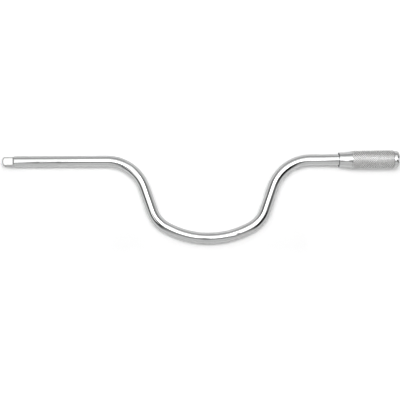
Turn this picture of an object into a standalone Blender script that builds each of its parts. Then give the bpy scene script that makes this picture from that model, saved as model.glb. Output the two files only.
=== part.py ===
"""Speed brace for socket work, lying flat.

A round bar is cranked into a bow, so that it can be swung round like a carpenter's brace. One end of
the bar is a square drive with a sprung ball. The other end is turned down to a spindle, on which a
knurled grip spins. Units are metres and Z is up. The drive's axis is X, with the middle of the drive's
end face at the origin, and the bow hangs towards -Y in the XY plane.
"""

import math

import bmesh
import bpy

# Gap between pieces that touch or run on each other
RUNNING_GAP = 0.0003

# Bar and its bends
BAR_DIAMETER = 0.0120
DRIVE_ARM_LENGTH = 0.1115
ARM_BEND_RADIUS = 0.0422
LEG_LENGTH = 0.0266
LEG_ANGLE = math.radians(71.0)
CORNER_BEND_RADIUS = 0.0329
BOW_RADIUS = 0.0945
BOW_HALF_ANGLE = math.radians(28.7)
GRIP_ARM_LENGTH = 0.0306
BAR_SIDES = 24
BEND_STEP = math.radians(7.0)

# Square drive
SQUARE_ACROSS_FLATS = 0.00953
SQUARE_LENGTH = 0.0115
SHOULDER_RAMP = 0.0015
TIP_FACE_DIAMETER = 0.0078
TIP_CHAMFER_ANGLE = math.radians(45.0)

# Sprung ball that holds a socket
BALL_DIAMETER = 0.0032
BALL_SETBACK = 0.0056
BALL_PROUD = 0.0008
DETENT_FLOOR = 0.0022
SPRING_WIRE = 0.0004
SPRING_TURNS = 5
SPRING_POINTS_PER_TURN = 9

# Spindle turned on the bar's end, and what runs on it
BAR_INSERT = 0.0125
SPINDLE_STEP = 0.0020
SPINDLE_TIP_LENGTH = 0.0016
SPINDLE_CHAMFER = 0.0005
GROOVE_DEPTH = 0.0008
BUSH_WALL = 0.0011
BUSH_LENGTH = 0.0090
FLANGE_THICKNESS = 0.0012
WASHER_WIDTH = 0.0024
WASHER_THICKNESS = 0.0010
RING_THICKNESS = 0.0010
RING_WIDTH = 0.0017
RING_OPENING = math.radians(16.0)
EAR_REACH = 0.0009
EAR_SPAN = math.radians(24.0)
EAR_HOLE_DIAMETER = 0.0007
TURNED_STEPS = 28

# Grip sleeve
NECK_WALL = 0.00135
NECK_LENGTH = 0.0140
NECK_STRAIGHT = 0.0015
NECK_FLARE = 0.0013
NECK_EDGE = 0.0003
MOUTH_CHAMFER = 0.0007
BARREL_STEP = 0.00055
BARREL_SWELL = 0.0003
BARREL_LENGTH = 0.0443
BARREL_CHAMFER = 0.0005
KNURL_PITCH = 0.0022
KNURL_DEPTH = 0.00045
FLARE_STEPS = 4

# End cap
CAP_LENGTH = 0.0057
CAP_STEP = 0.0007
CAP_EDGE = 0.0003
CAP_ROUND = 0.0040
CAP_PLUG_DEPTH = 0.0040
CAP_PLUG_WALL = 0.0014
CAP_INNER_GAP = 0.0010
CAP_STEPS = 6
CAP_SIDES = 36

# How far a cutter runs past what it cuts, and how near two points are made one
OVERRUN = 0.0020
WELD = 0.00001

# Sizes that follow from those above
BAR_RADIUS = BAR_DIAMETER / 2
SQUARE_HALF = SQUARE_ACROSS_FLATS / 2
BALL_RADIUS = BALL_DIAMETER / 2
SPINDLE_RADIUS = BAR_RADIUS - SPINDLE_STEP
BUSH_BORE = SPINDLE_RADIUS + RUNNING_GAP
BUSH_RADIUS = BUSH_BORE + BUSH_WALL
SLEEVE_BORE = BUSH_RADIUS + RUNNING_GAP
NECK_BORE = BAR_RADIUS + RUNNING_GAP
NECK_RADIUS = NECK_BORE + NECK_WALL
BARREL_FRONT_RADIUS = NECK_RADIUS + NECK_FLARE + BARREL_STEP
BARREL_REAR_RADIUS = BARREL_FRONT_RADIUS + BARREL_SWELL
WASHER_RADIUS = BUSH_BORE + WASHER_WIDTH
REAR_BORE = WASHER_RADIUS + 2 * RUNNING_GAP
CAP_RADIUS = BARREL_REAR_RADIUS - CAP_STEP

# Places along the grip's axis, measured from its mouth
SHOULDER = BAR_INSERT
FRONT_FLANGE = SHOULDER + RUNNING_GAP
FRONT_SEAT = FRONT_FLANGE + FLANGE_THICKNESS + RUNNING_GAP
BARREL_FRONT = NECK_LENGTH
BARREL_REAR = BARREL_FRONT + BARREL_LENGTH
CAP_SEAT = BARREL_REAR + RUNNING_GAP
CAP_PLUG_END = CAP_SEAT - CAP_PLUG_DEPTH
SPINDLE_END = CAP_PLUG_END - CAP_INNER_GAP
RING_FACE = SPINDLE_END - SPINDLE_TIP_LENGTH - RUNNING_GAP - RING_THICKNESS
WASHER_FACE = RING_FACE - RUNNING_GAP - WASHER_THICKNESS
REAR_FLANGE_FACE = WASHER_FACE - RUNNING_GAP
REAR_SEAT = REAR_FLANGE_FACE - FLANGE_THICKNESS - RUNNING_GAP


def crank_span():
    """Distance along X between the two places where the bar leaves and rejoins the drive's axis."""
    bow = BOW_RADIUS * math.sin(BOW_HALF_ANGLE)
    corner = CORNER_BEND_RADIUS * (math.sin(LEG_ANGLE) - math.sin(BOW_HALF_ANGLE))
    leg = LEG_LENGTH * math.cos(LEG_ANGLE)
    bend = ARM_BEND_RADIUS * math.sin(LEG_ANGLE)
    return 2 * (bow + corner + leg + bend)


GRIP_MOUTH = DRIVE_ARM_LENGTH + crank_span() + GRIP_ARM_LENGTH


def clear_objects():
    for old in list(bpy.data.objects):
        bpy.data.objects.remove(old, do_unlink=True)


def new_collection(name):
    collection = bpy.data.collections.new(name)
    bpy.context.scene.collection.children.link(collection)
    return collection


def finish(name, colour, roughness, metallic=1.0):
    material = bpy.data.materials.new(name)
    material.use_nodes = True
    shader = material.node_tree.nodes["Principled BSDF"]
    shader.inputs["Base Color"].default_value = (*colour, 1.0)
    shader.inputs["Roughness"].default_value = roughness
    shader.inputs["Metallic"].default_value = metallic
    return material


def add_object(name, data, collection, material=None):
    piece = bpy.data.objects.new(name, data)
    collection.objects.link(piece)
    if material:
        data.materials.append(material)
    return piece


def solid_from(source, name, collection, material=None):
    """The evaluated shape of a curve or of an object with modifiers, as a welded mesh in its place."""
    bpy.context.view_layer.update()
    evaluated = source.evaluated_get(bpy.context.evaluated_depsgraph_get())
    mesh = bpy.data.meshes.new_from_object(evaluated)
    place = source.matrix_world.copy()
    bpy.data.objects.remove(source, do_unlink=True)
    mesh.name = name
    mesh.materials.clear()
    shape = bmesh.new()
    shape.from_mesh(mesh)
    bmesh.ops.remove_doubles(shape, verts=shape.verts, dist=WELD)
    shape.to_mesh(mesh)
    shape.free()
    mesh.shade_smooth()
    mesh.set_sharp_from_angle(angle=math.radians(35.0))
    solid = add_object(name, mesh, collection, material)
    solid.matrix_world = place
    return solid


def turned(name, outline, steps, collection, material=None):
    """A lathe shape about its own Z, from a closed outline of (height, radius) points.

    The outline runs down the outer side, from the highest point to the lowest, and back up the bore.
    """
    mesh = bpy.data.meshes.new(name)
    points = [(radius, 0, height) for height, radius in outline]
    edges = [(i, (i + 1) % len(points)) for i in range(len(points))]
    mesh.from_pydata(points, edges, [])
    profile = add_object(name + " profile", mesh, collection)
    screw = profile.modifiers.new("Turn", "SCREW")
    screw.axis = "Z"
    screw.steps = steps
    screw.render_steps = steps
    screw.use_merge_vertices = True
    screw.merge_threshold = WELD
    return solid_from(profile, name, collection, material)


def arc(centre, radius, start, end, steps):
    """Points of an arc in an outline, as (height, radius), with angles measured from the turning axis."""
    angles = [start + (end - start) * i / steps for i in range(steps + 1)]
    return [(centre[0] + radius * math.cos(a), centre[1] + radius * math.sin(a)) for a in angles]


def lie_along_x(piece, x):
    """Turns a lathe shape so that its axis is the drive's axis, with its foot at x."""
    piece.location = (x, 0, 0)
    piece.rotation_euler = (0, math.pi / 2, 0)


def cut(piece, cutter):
    cutter.hide_render = True
    cutter.display_type = "WIRE"
    boolean = piece.modifiers.new("Cut " + cutter.name, "BOOLEAN")
    boolean.operation = "DIFFERENCE"
    boolean.solver = "EXACT"
    boolean.object = cutter


# Crank bar


def walk(runs):
    """Centreline points of a bar bent from straight runs and arcs, each (length or radius, turn)."""
    x, y, heading = 0, 0, 0
    points = [(x, y, 0)]
    for size, turn in runs:
        if not turn:
            x += size * math.cos(heading)
            y += size * math.sin(heading)
            points.append((x, y, 0))
            continue
        side = math.copysign(1, turn)
        centre_x = x - side * size * math.sin(heading)
        centre_y = y + side * size * math.cos(heading)
        steps = math.ceil(abs(turn) / BEND_STEP)
        for step in range(1, steps + 1):
            angle = heading + turn * step / steps
            x = centre_x + side * size * math.sin(angle)
            y = centre_y - side * size * math.cos(angle)
            points.append((x, y, 0))
        heading += turn
    return points


def crank_path():
    corner = LEG_ANGLE - BOW_HALF_ANGLE
    return walk(
        [
            (DRIVE_ARM_LENGTH, 0),
            (ARM_BEND_RADIUS, -LEG_ANGLE),
            (LEG_LENGTH, 0),
            (CORNER_BEND_RADIUS, corner),
            (BOW_RADIUS, 2 * BOW_HALF_ANGLE),
            (CORNER_BEND_RADIUS, corner),
            (LEG_LENGTH, 0),
            (ARM_BEND_RADIUS, -LEG_ANGLE),
            (GRIP_ARM_LENGTH + SPINDLE_END, 0),
        ]
    )


def bent_bar(collection, material):
    curve = bpy.data.curves.new("Crank path", "CURVE")
    curve.dimensions = "3D"
    curve.bevel_depth = BAR_RADIUS
    curve.bevel_resolution = BAR_SIDES // 2 - 2
    curve.use_fill_caps = True
    points = crank_path()
    spline = curve.splines.new("POLY")
    spline.points.add(len(points) - 1)
    for point, place in zip(spline.points, points):
        point.co = (*place, 1)
    path = add_object("Crank path", curve, collection)
    return solid_from(path, "crank_bar", collection, material)


def flat_cutter(quarter, collection):
    """What is milled off one side of the bar's end, with the ramp that the flat runs out on."""
    top = BAR_RADIUS + OVERRUN
    slope = SHOULDER_RAMP / (BAR_RADIUS - SQUARE_HALF)
    outline = [
        (-OVERRUN, SQUARE_HALF),
        (SQUARE_LENGTH, SQUARE_HALF),
        (SQUARE_LENGTH + slope * (top - SQUARE_HALF), top),
        (-OVERRUN, top),
    ]
    shape = bmesh.new()
    corners = [shape.verts.new((x, -BAR_DIAMETER, z)) for x, z in outline]
    side = shape.faces.new(corners)
    pulled = bmesh.ops.extrude_face_region(shape, geom=[side])["geom"]
    moved = [item for item in pulled if isinstance(item, bmesh.types.BMVert)]
    bmesh.ops.translate(shape, verts=moved, vec=(0, 2 * BAR_DIAMETER, 0))
    bmesh.ops.recalc_face_normals(shape, faces=shape.faces)
    mesh = bpy.data.meshes.new("flat cutter")
    shape.to_mesh(mesh)
    shape.free()
    cutter = add_object(f"flat_cutter_{quarter}", mesh, collection)
    cutter.rotation_euler = (quarter * math.pi / 2, 0, 0)
    return cutter


def tip_cutter(collection):
    """The cone that the drive's tip is chamfered to."""
    slope = math.tan(TIP_CHAMFER_ANGLE)
    wide = BAR_RADIUS + OVERRUN
    face = TIP_FACE_DIAMETER / 2
    outline = [
        ((wide - face) / slope, wide),
        (-OVERRUN, wide),
        (-OVERRUN, face - OVERRUN * slope),
    ]
    cutter = turned("tip_cutter", outline, TURNED_STEPS, collection)
    lie_along_x(cutter, 0)
    return cutter


def spindle_cutter(collection):
    """What the lathe takes off the bar's other end: the spindle, its ring groove and its end chamfer."""
    wide = BAR_RADIUS + OVERRUN
    groove = SPINDLE_RADIUS - GROOVE_DEPTH
    outline = [
        (SPINDLE_END + OVERRUN, wide),
        (SHOULDER, wide),
        (SHOULDER, SPINDLE_RADIUS),
        (RING_FACE - RUNNING_GAP, SPINDLE_RADIUS),
        (RING_FACE - RUNNING_GAP, groove),
        (RING_FACE + RING_THICKNESS + RUNNING_GAP, groove),
        (RING_FACE + RING_THICKNESS + RUNNING_GAP, SPINDLE_RADIUS),
        (SPINDLE_END - SPINDLE_CHAMFER, SPINDLE_RADIUS),
        (SPINDLE_END + OVERRUN, SPINDLE_RADIUS - SPINDLE_CHAMFER - OVERRUN),
    ]
    cutter = turned("spindle_cutter", outline, TURNED_STEPS, collection)
    lie_along_x(cutter, GRIP_MOUTH)
    return cutter


def detent_cutter(collection):
    """The blind hole for the ball and its spring, drilled up from the square's lower flat."""
    radius = BALL_RADIUS + RUNNING_GAP
    outline = [
        (SQUARE_HALF - DETENT_FLOOR, radius),
        (-BAR_RADIUS - OVERRUN, radius),
        (-BAR_RADIUS - OVERRUN, 0),
        (SQUARE_HALF - DETENT_FLOOR, 0),
    ]
    cutter = turned("detent_cutter", outline, TURNED_STEPS // 2, collection)
    cutter.location = (BALL_SETBACK, 0, 0)
    return cutter


def crank_bar(parts, cutters):
    bar = bent_bar(parts, finish("Polished chrome bar", (0.62, 0.62, 0.61), 0.12))
    for quarter in range(4):
        cut(bar, flat_cutter(quarter, cutters))
    cut(bar, tip_cutter(cutters))
    cut(bar, spindle_cutter(cutters))
    cut(bar, detent_cutter(cutters))
    return bar


# Ball and spring in the square


def detent_ball(parts):
    mesh = bpy.data.meshes.new("detent_ball")
    shape = bmesh.new()
    bmesh.ops.create_uvsphere(shape, u_segments=16, v_segments=10, radius=BALL_RADIUS)
    shape.to_mesh(mesh)
    shape.free()
    mesh.shade_smooth()
    ball = add_object("detent_ball", mesh, parts, finish("Bright steel ball", (0.6, 0.6, 0.6), 0.15))
    ball.location = (BALL_SETBACK, 0, BALL_RADIUS - BALL_PROUD - SQUARE_HALF)
    return ball


def detent_spring(parts):
    """A coil that stands between the ball and the floor of its hole."""
    wire = SPRING_WIRE / 2
    coil = BALL_RADIUS - wire
    foot = 2 * BALL_RADIUS - BALL_PROUD - SQUARE_HALF + RUNNING_GAP + wire
    head = SQUARE_HALF - DETENT_FLOOR - RUNNING_GAP - wire
    count = SPRING_TURNS * SPRING_POINTS_PER_TURN
    curve = bpy.data.curves.new("Coil", "CURVE")
    curve.dimensions = "3D"
    curve.bevel_depth = wire
    curve.bevel_resolution = 1
    curve.use_fill_caps = True
    spline = curve.splines.new("POLY")
    spline.points.add(count)
    for step, point in enumerate(spline.points):
        angle = 2 * math.pi * step / SPRING_POINTS_PER_TURN
        rise = foot + (head - foot) * step / count
        point.co = (coil * math.cos(angle), coil * math.sin(angle), rise, 1)
    path = add_object("Coil", curve, parts)
    path.location = (BALL_SETBACK, 0, 0)
    return solid_from(path, "detent_spring", parts, finish("Spring steel", (0.36, 0.36, 0.38), 0.3))


# What holds the grip on the spindle


def retaining_washer(parts):
    outline = [
        (WASHER_THICKNESS, WASHER_RADIUS),
        (0, WASHER_RADIUS),
        (0, BUSH_BORE),
        (WASHER_THICKNESS, BUSH_BORE),
    ]
    steel = finish("Bright zinc washer", (0.55, 0.56, 0.58), 0.35)
    washer = turned("retaining_washer", outline, TURNED_STEPS, parts, steel)
    lie_along_x(washer, GRIP_MOUTH + WASHER_FACE)
    return washer


def add_loop(curve, points):
    spline = curve.splines.new("POLY")
    spline.points.add(len(points) - 1)
    spline.use_cyclic_u = True
    for point, (x, y) in zip(spline.points, points):
        point.co = (x, y, 0, 1)


def polar(radius, angle):
    return radius * math.cos(angle), radius * math.sin(angle)


def retaining_ring(parts):
    """An external circlip: an open ring with a drilled ear on each side of its opening."""
    inner = SPINDLE_RADIUS - GROOVE_DEPTH + RUNNING_GAP
    outer = inner + RING_WIDTH
    ear = outer + EAR_REACH
    ear_end = RING_OPENING + EAR_SPAN
    steps = TURNED_STEPS
    sweep = [RING_OPENING + (2 * math.pi - 2 * RING_OPENING) * i / steps for i in range(steps + 1)]
    rim = [ear_end + (2 * math.pi - 2 * ear_end) * i / steps for i in range(steps + 1)]
    outline = [polar(inner, angle) for angle in sweep]
    outline += [polar(ear, -RING_OPENING), polar(ear, -ear_end)]
    outline += [polar(outer, angle) for angle in reversed(rim)]
    outline += [polar(ear, ear_end), polar(ear, RING_OPENING)]
    curve = bpy.data.curves.new("Ring outline", "CURVE")
    curve.dimensions = "2D"
    curve.fill_mode = "BOTH"
    curve.extrude = RING_THICKNESS / 2
    add_loop(curve, outline)
    for side in (-1, 1):
        centre = polar((inner + ear) / 2, side * (RING_OPENING + EAR_SPAN / 2))
        hole = [polar(EAR_HOLE_DIAMETER / 2, math.pi * i / 4) for i in range(8)]
        add_loop(curve, [(centre[0] + x, centre[1] + y) for x, y in hole])
    path = add_object("Ring outline", curve, parts)
    lie_along_x(path, GRIP_MOUTH + RING_FACE + RING_THICKNESS / 2)
    return solid_from(path, "retaining_ring", parts, finish("Black spring steel", (0.08, 0.08, 0.09), 0.4))


# Revolving grip, built about its own Z with the mouth at its foot


def bush(name, flange_radius, flip, place, axle, parts):
    """A flanged plain bush. Flipped, its flange is at its head."""
    outline = [
        (FLANGE_THICKNESS + BUSH_LENGTH, BUSH_RADIUS),
        (FLANGE_THICKNESS, BUSH_RADIUS),
        (FLANGE_THICKNESS, flange_radius),
        (0, flange_radius),
        (0, BUSH_BORE),
        (FLANGE_THICKNESS + BUSH_LENGTH, BUSH_BORE),
    ]
    if flip:
        outline = [(-height, radius) for height, radius in reversed(outline)]
    bronze = finish(name + " bronze", (0.55, 0.36, 0.16), 0.4)
    piece = turned(name, outline, TURNED_STEPS, parts, bronze)
    piece.parent = axle
    piece.location = (0, 0, place)
    return piece


def barrel_radius(height):
    """Radius over the knurl's crests, which swells a little towards the free end."""
    share = (height - BARREL_FRONT) / BARREL_LENGTH
    return BARREL_FRONT_RADIUS + BARREL_SWELL * share


def sleeve_outline(rows):
    """Half section of the sleeve, with one point for each half pitch of the knurl."""
    knurl_front = BARREL_FRONT + BARREL_CHAMFER
    knurl_rear = BARREL_REAR - BARREL_CHAMFER
    heights = [knurl_rear + (knurl_front - knurl_rear) * i / rows for i in range(rows + 1)]
    flare_run = NECK_LENGTH - NECK_STRAIGHT
    flare_radius = (flare_run**2 + NECK_FLARE**2) / (2 * NECK_FLARE)
    flare_angle = math.asin(flare_run / flare_radius)
    centre = (NECK_STRAIGHT, NECK_RADIUS + flare_radius)
    flare = arc(centre, flare_radius, flare_angle - math.pi / 2, -math.pi / 2, FLARE_STEPS)
    return [
        (BARREL_REAR, REAR_BORE),
        (BARREL_REAR, barrel_radius(BARREL_REAR) - KNURL_DEPTH - BARREL_CHAMFER),
        *[(height, barrel_radius(height) - KNURL_DEPTH) for height in heights],
        (BARREL_FRONT, NECK_RADIUS + NECK_FLARE),
        *flare[1:],
        (NECK_EDGE, NECK_RADIUS),
        (0, NECK_RADIUS - NECK_EDGE),
        (0, NECK_BORE + MOUTH_CHAMFER),
        (MOUTH_CHAMFER, NECK_BORE),
        (FRONT_SEAT, NECK_BORE),
        (FRONT_SEAT, SLEEVE_BORE),
        (REAR_SEAT, SLEEVE_BORE),
        (REAR_SEAT, REAR_BORE),
    ]


def raise_knurl(mesh, columns, rows):
    """Lifts every other crossing of the barrel's grid into a crest and folds the faces along the grooves."""
    knurl_front = BARREL_FRONT + BARREL_CHAMFER
    half_pitch = (BARREL_LENGTH - 2 * BARREL_CHAMFER) / rows
    shape = bmesh.new()
    shape.from_mesh(mesh)
    grid = {}
    for vert in shape.verts:
        row = (vert.co.z - knurl_front) / half_pitch
        on_barrel = vert.co.xy.length > REAR_BORE + KNURL_DEPTH
        if on_barrel and abs(row - round(row)) < 0.1 and 0 <= round(row) <= rows:
            turn = math.atan2(vert.co.y, vert.co.x) / (2 * math.pi)
            grid[vert] = (round(row), round(turn * columns) % columns)
    for vert, (row, column) in grid.items():
        if (row + column) % 2 == 0 and 0 < row < rows:
            lift = 1 + KNURL_DEPTH / vert.co.xy.length
            vert.co.x *= lift
            vert.co.y *= lift
    for face in list(shape.faces):
        lows = [vert for vert in face.verts if vert in grid and sum(grid[vert]) % 2]
        if len(lows) == 2 and all(vert in grid for vert in face.verts):
            bmesh.utils.face_split(face, lows[0], lows[1])
    shape.to_mesh(mesh)
    shape.free()
    mesh.set_sharp_from_angle(angle=math.radians(20.0))


def grip_sleeve(axle, parts):
    around = 2 * math.pi * BARREL_REAR_RADIUS / KNURL_PITCH
    along = (BARREL_LENGTH - 2 * BARREL_CHAMFER) / KNURL_PITCH
    columns = 2 * round(around)
    rows = 2 * round(along)
    satin = finish("Satin chrome knurl", (0.58, 0.58, 0.57), 0.3)
    sleeve = turned("grip_sleeve", sleeve_outline(rows), columns, parts, satin)
    raise_knurl(sleeve.data, columns, rows)
    sleeve.parent = axle
    return sleeve


def end_cap(axle, parts):
    """The bright rounded end of the grip, with a hollow plug pressed into the sleeve."""
    plug = REAR_BORE - RUNNING_GAP
    hollow = plug - CAP_PLUG_WALL
    centre = (CAP_LENGTH - CAP_ROUND, CAP_RADIUS - CAP_ROUND)
    rounding = arc(centre, CAP_ROUND, 0, math.pi / 2, CAP_STEPS)
    outline = [
        (CAP_LENGTH, 0),
        *rounding,
        (CAP_EDGE, CAP_RADIUS),
        (0, CAP_RADIUS - CAP_EDGE),
        (0, plug),
        (-CAP_PLUG_DEPTH + CAP_EDGE, plug),
        (-CAP_PLUG_DEPTH, plug - CAP_EDGE),
        (-CAP_PLUG_DEPTH, hollow),
        (0, hollow),
        (0, 0),
    ]
    chrome = finish("Polished chrome cap", (0.62, 0.62, 0.61), 0.1)
    cap = turned("end_cap", outline, CAP_SIDES, parts, chrome)
    cap.parent = axle
    cap.location = (0, 0, CAP_SEAT)
    return cap


def revolving_grip(parts):
    axle = bpy.data.objects.new("grip_axis", None)
    parts.objects.link(axle)
    lie_along_x(axle, GRIP_MOUTH)
    grip_sleeve(axle, parts)
    bush("front_bush", NECK_BORE - RUNNING_GAP, False, FRONT_FLANGE, axle, parts)
    bush("rear_bush", REAR_BORE - RUNNING_GAP, True, REAR_FLANGE_FACE, axle, parts)
    end_cap(axle, parts)


clear_objects()
brace = new_collection("Speed brace")
brace_cutters = new_collection("Cutters")
crank_bar(brace, brace_cutters)
detent_ball(brace)
detent_spring(brace)
retaining_washer(brace)
retaining_ring(brace)
revolving_grip(brace)
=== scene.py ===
"""The looks of a speed brace for socket work, lying flat in plain studio light. Metres, Z up.

The drive's axis is X, with the middle of the drive's end face at the origin, and the bow hangs towards -Y.
"""

import math

import bmesh
import bpy
import numpy as np
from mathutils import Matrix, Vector, noise


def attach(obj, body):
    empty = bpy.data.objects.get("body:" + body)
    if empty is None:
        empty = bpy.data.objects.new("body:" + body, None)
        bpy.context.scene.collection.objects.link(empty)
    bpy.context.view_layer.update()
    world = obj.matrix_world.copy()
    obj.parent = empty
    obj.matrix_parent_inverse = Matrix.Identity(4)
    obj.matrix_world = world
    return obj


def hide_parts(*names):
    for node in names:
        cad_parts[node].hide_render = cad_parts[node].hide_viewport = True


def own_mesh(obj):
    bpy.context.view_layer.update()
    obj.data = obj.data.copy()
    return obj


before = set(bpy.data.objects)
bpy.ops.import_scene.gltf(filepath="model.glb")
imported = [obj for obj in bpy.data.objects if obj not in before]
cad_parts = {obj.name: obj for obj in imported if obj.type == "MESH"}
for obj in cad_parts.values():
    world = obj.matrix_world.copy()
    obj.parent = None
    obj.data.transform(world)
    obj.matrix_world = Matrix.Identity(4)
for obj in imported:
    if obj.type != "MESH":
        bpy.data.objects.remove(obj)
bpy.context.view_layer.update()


# Crank bar: one round steel bar, bent cold into a bow. Four flats are milled on its drive end, the other end
# is turned down to a spindle, and the whole bar is polished and then chrome plated.
BAR_RADIUS = 0.0060
DRIVE_ARM = 0.1115
ARM_BEND = 0.0422
LEG = 0.0266
LEG_ANGLE = math.radians(71.0)
CORNER_BEND = 0.0329
BOW = 0.0945
BOW_HALF_ANGLE = math.radians(28.7)
GRIP_ARM = 0.0306
SQUARE_HALF = 0.009530 / 2
SQUARE_LENGTH = 0.0115
RAMP = 0.0015
TIP_FACE_RADIUS = 0.0039
TIP_CENTRE = 0.0032
EDGE_ROUNDING = 0.00022
EDGE_BREAK = 0.0001
SHOULDER_DEPTH = 0.0125
SPINDLE_RADIUS = 0.0040
GROOVE_FLOOR = 0.0032
RING_GROOVE = (0.0504, 0.0520)
SPINDLE_END = 0.0536
SPINDLE_FACE_RADIUS = 0.0010
CHROME = (0.548, 0.552, 0.550, 1.0)
WORN_STEEL = (0.40, 0.395, 0.385, 1.0)


def walk_crank():
    """Stations along the bent bar's centreline: (x, y, heading, length so far)."""
    corner = LEG_ANGLE - BOW_HALF_ANGLE
    # Each run: its length or radius, how far it turns, and its steps
    runs = [
        (DRIVE_ARM, 0, 52),
        (ARM_BEND, -LEG_ANGLE, 46),
        (LEG, 0, 14),
        (CORNER_BEND, corner, 26),
        (BOW, 2 * BOW_HALF_ANGLE, 64),
        (CORNER_BEND, corner, 26),
        (LEG, 0, 14),
        (ARM_BEND, -LEG_ANGLE, 46),
        (GRIP_ARM + SHOULDER_DEPTH, 0, 20),
    ]
    x, y, heading, length = 0.0, 0.0, 0.0, 0.0
    stations = [(x, y, heading, length)]
    for size, turn, steps in runs:
        side = math.copysign(1, turn)
        centre = (x - side * size * math.sin(heading), y + side * size * math.cos(heading))
        for step in range(1, steps + 1):
            if turn:
                gone = size * abs(turn) * step / steps
                angle = heading + turn * step / steps
                here = (centre[0] + side * size * math.sin(angle), centre[1] - side * size * math.cos(angle))
            else:
                gone = size * step / steps
                angle = heading
                here = (x + gone * math.cos(heading), y + gone * math.sin(heading))
            stations.append((*here, angle, length + gone))
        x, y, heading, length = stations[-1]
    return stations


def softer_max(a, b, blend):
    """The larger of two distances, rounded off over a band where they are nearly the same."""
    near = np.maximum(blend - np.abs(a - b), 0) / blend
    return np.maximum(a, b) + near * near * blend / 4


def flat_height(x):
    """Distance from the axis to the milled flats: constant along the square, then up the ramp."""
    rise = (x - SQUARE_LENGTH) * (BAR_RADIUS - SQUARE_HALF) / RAMP
    return SQUARE_HALF + softer_max(rise, np.zeros_like(rise), EDGE_ROUNDING)


def outside_drive(x, radius, toward_flat):
    """How far a point lies outside the drive: its round bar, four flats, the tip's cone and the end face."""
    body = softer_max(radius - BAR_RADIUS, radius * toward_flat - flat_height(x), EDGE_ROUNDING)
    tip = softer_max((radius - TIP_FACE_RADIUS - x) / math.sqrt(2), -x, EDGE_ROUNDING)
    return softer_max(body, tip, EDGE_ROUNDING)


FARTHEST_REACH = 0.012
HALVINGS = 34


def reach_of(outside):
    """Finds where each ray leaves the drive, by halving."""
    low = np.zeros_like(outside(0.0))
    high = np.full_like(low, FARTHEST_REACH)
    for _ in range(HALVINGS):
        middle = (low + high) / 2
        out = outside(middle) > 0
        high = np.where(out, middle, high)
        low = np.where(out, low, middle)
    return (low + high) / 2


FLAT_SHARES = np.array([0, 0.2, 0.4, 0.6, 0.76, 0.88, 0.95, 1.0])
ARC_SHARES = np.array([0.1, 0.25, 0.5, 0.75])
COLUMNS = 96
EVEN_ANGLES = np.arange(COLUMNS) * 2 * math.pi / COLUMNS
NARROWEST_FLAT = math.radians(4)
EVENING_RUN = 0.004


def column_angles(x):
    """Angles of the mesh's columns, which follow the edges between flats and round corners, then even out."""
    edge = math.acos(min(1.0, float(flat_height(np.array([x]))[0]) / BAR_RADIUS))
    edge = max(edge, NARROWEST_FLAT)
    half = np.concatenate([FLAT_SHARES * edge, edge + ARC_SHARES * (math.pi / 4 - edge)])
    quarter = np.concatenate([half, [math.pi / 4], (math.pi / 2 - half[1:])[::-1]])
    shaped = np.concatenate([quarter + i * math.pi / 2 for i in range(4)])
    share = min(max((x - SQUARE_LENGTH - RAMP) / EVENING_RUN, 0), 1)
    return shaped + (EVEN_ANGLES - shaped) * share


# Shares of the way over the tip's end face, over its cone and along the square's front, closest at the edges
FACE_SHARES = (0.03, 0.3, 0.6, 0.85, 0.93, 0.97, 1.0)
CONE_SHARES = (0.05, 0.12, 0.35, 0.65, 0.88, 0.95, 1.0)
FRONT_SHARES = (0.06, 0.14, 0.4, 0.7, 1.0)
DRIVE_STATIONS = np.concatenate(
    [
        np.arange(0.0036, 0.0110, 0.0006),
        [0.0112, 0.01135, 0.01145, 0.0115, 0.01155, 0.01165, 0.0118, 0.0120, 0.0122, 0.0124],
        [0.0126, 0.01275, 0.01285, 0.01292, 0.01297, 0.0130, 0.01308, 0.0132, 0.0135, 0.0140],
        [0.0146, 0.0154, 0.0162, 0.0170],
    ]
)


def nearest_flat(angles):
    """How squarely each angle points at the flat nearest to it."""
    return np.maximum(np.abs(np.cos(angles)), np.abs(np.sin(angles)))


def drive_rings():
    """Rings of (x, radii, angles) over the tip and the square, up to where the bar is round again."""
    rings = []
    angles = column_angles(0.0)
    toward_flat = nearest_flat(angles)
    edge_radius = np.minimum(BAR_RADIUS, SQUARE_HALF / toward_flat)
    face_angle = math.atan2(TIP_FACE_RADIUS, TIP_CENTRE)
    cone_angle = np.arctan2(edge_radius, TIP_CENTRE - (edge_radius - TIP_FACE_RADIUS))
    swings = [face_angle * share + 0 * cone_angle for share in FACE_SHARES]
    swings += [face_angle + (cone_angle - face_angle) * share for share in CONE_SHARES]
    swings += [cone_angle + (math.pi / 2 - cone_angle) * share for share in FRONT_SHARES]
    for swing in swings:
        reach = reach_of(
            lambda t: outside_drive(TIP_CENTRE - t * np.cos(swing), t * np.sin(swing), toward_flat)
        )
        rings.append((TIP_CENTRE - reach * np.cos(swing), reach * np.sin(swing), angles))
    for station in DRIVE_STATIONS:
        angles = column_angles(station)
        toward_flat = nearest_flat(angles)
        x = np.full_like(angles, station)
        reach = reach_of(lambda t: outside_drive(x, t + 0 * x, toward_flat))
        rings.append((x, reach, angles))
    return rings


RIPPLE_DEPTH = 0.000012
RIPPLES_ALONG = 55
RIPPLES_ROUND = 0.7
# Where the bender's former pressed the bar a little flat: length along the bar, degrees round it, how long
# the mark is and how deep
FORMER_MARKS = [
    (0.0388, -100, 0.0030, 0.000120),
    (0.0596, -100, 0.0018, 0.000110),
    (0.2580, -96, 0.0050, 0.000160),
    (0.2910, -96, 0.0040, 0.000170),
]
MARK_SWING = 13


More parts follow.
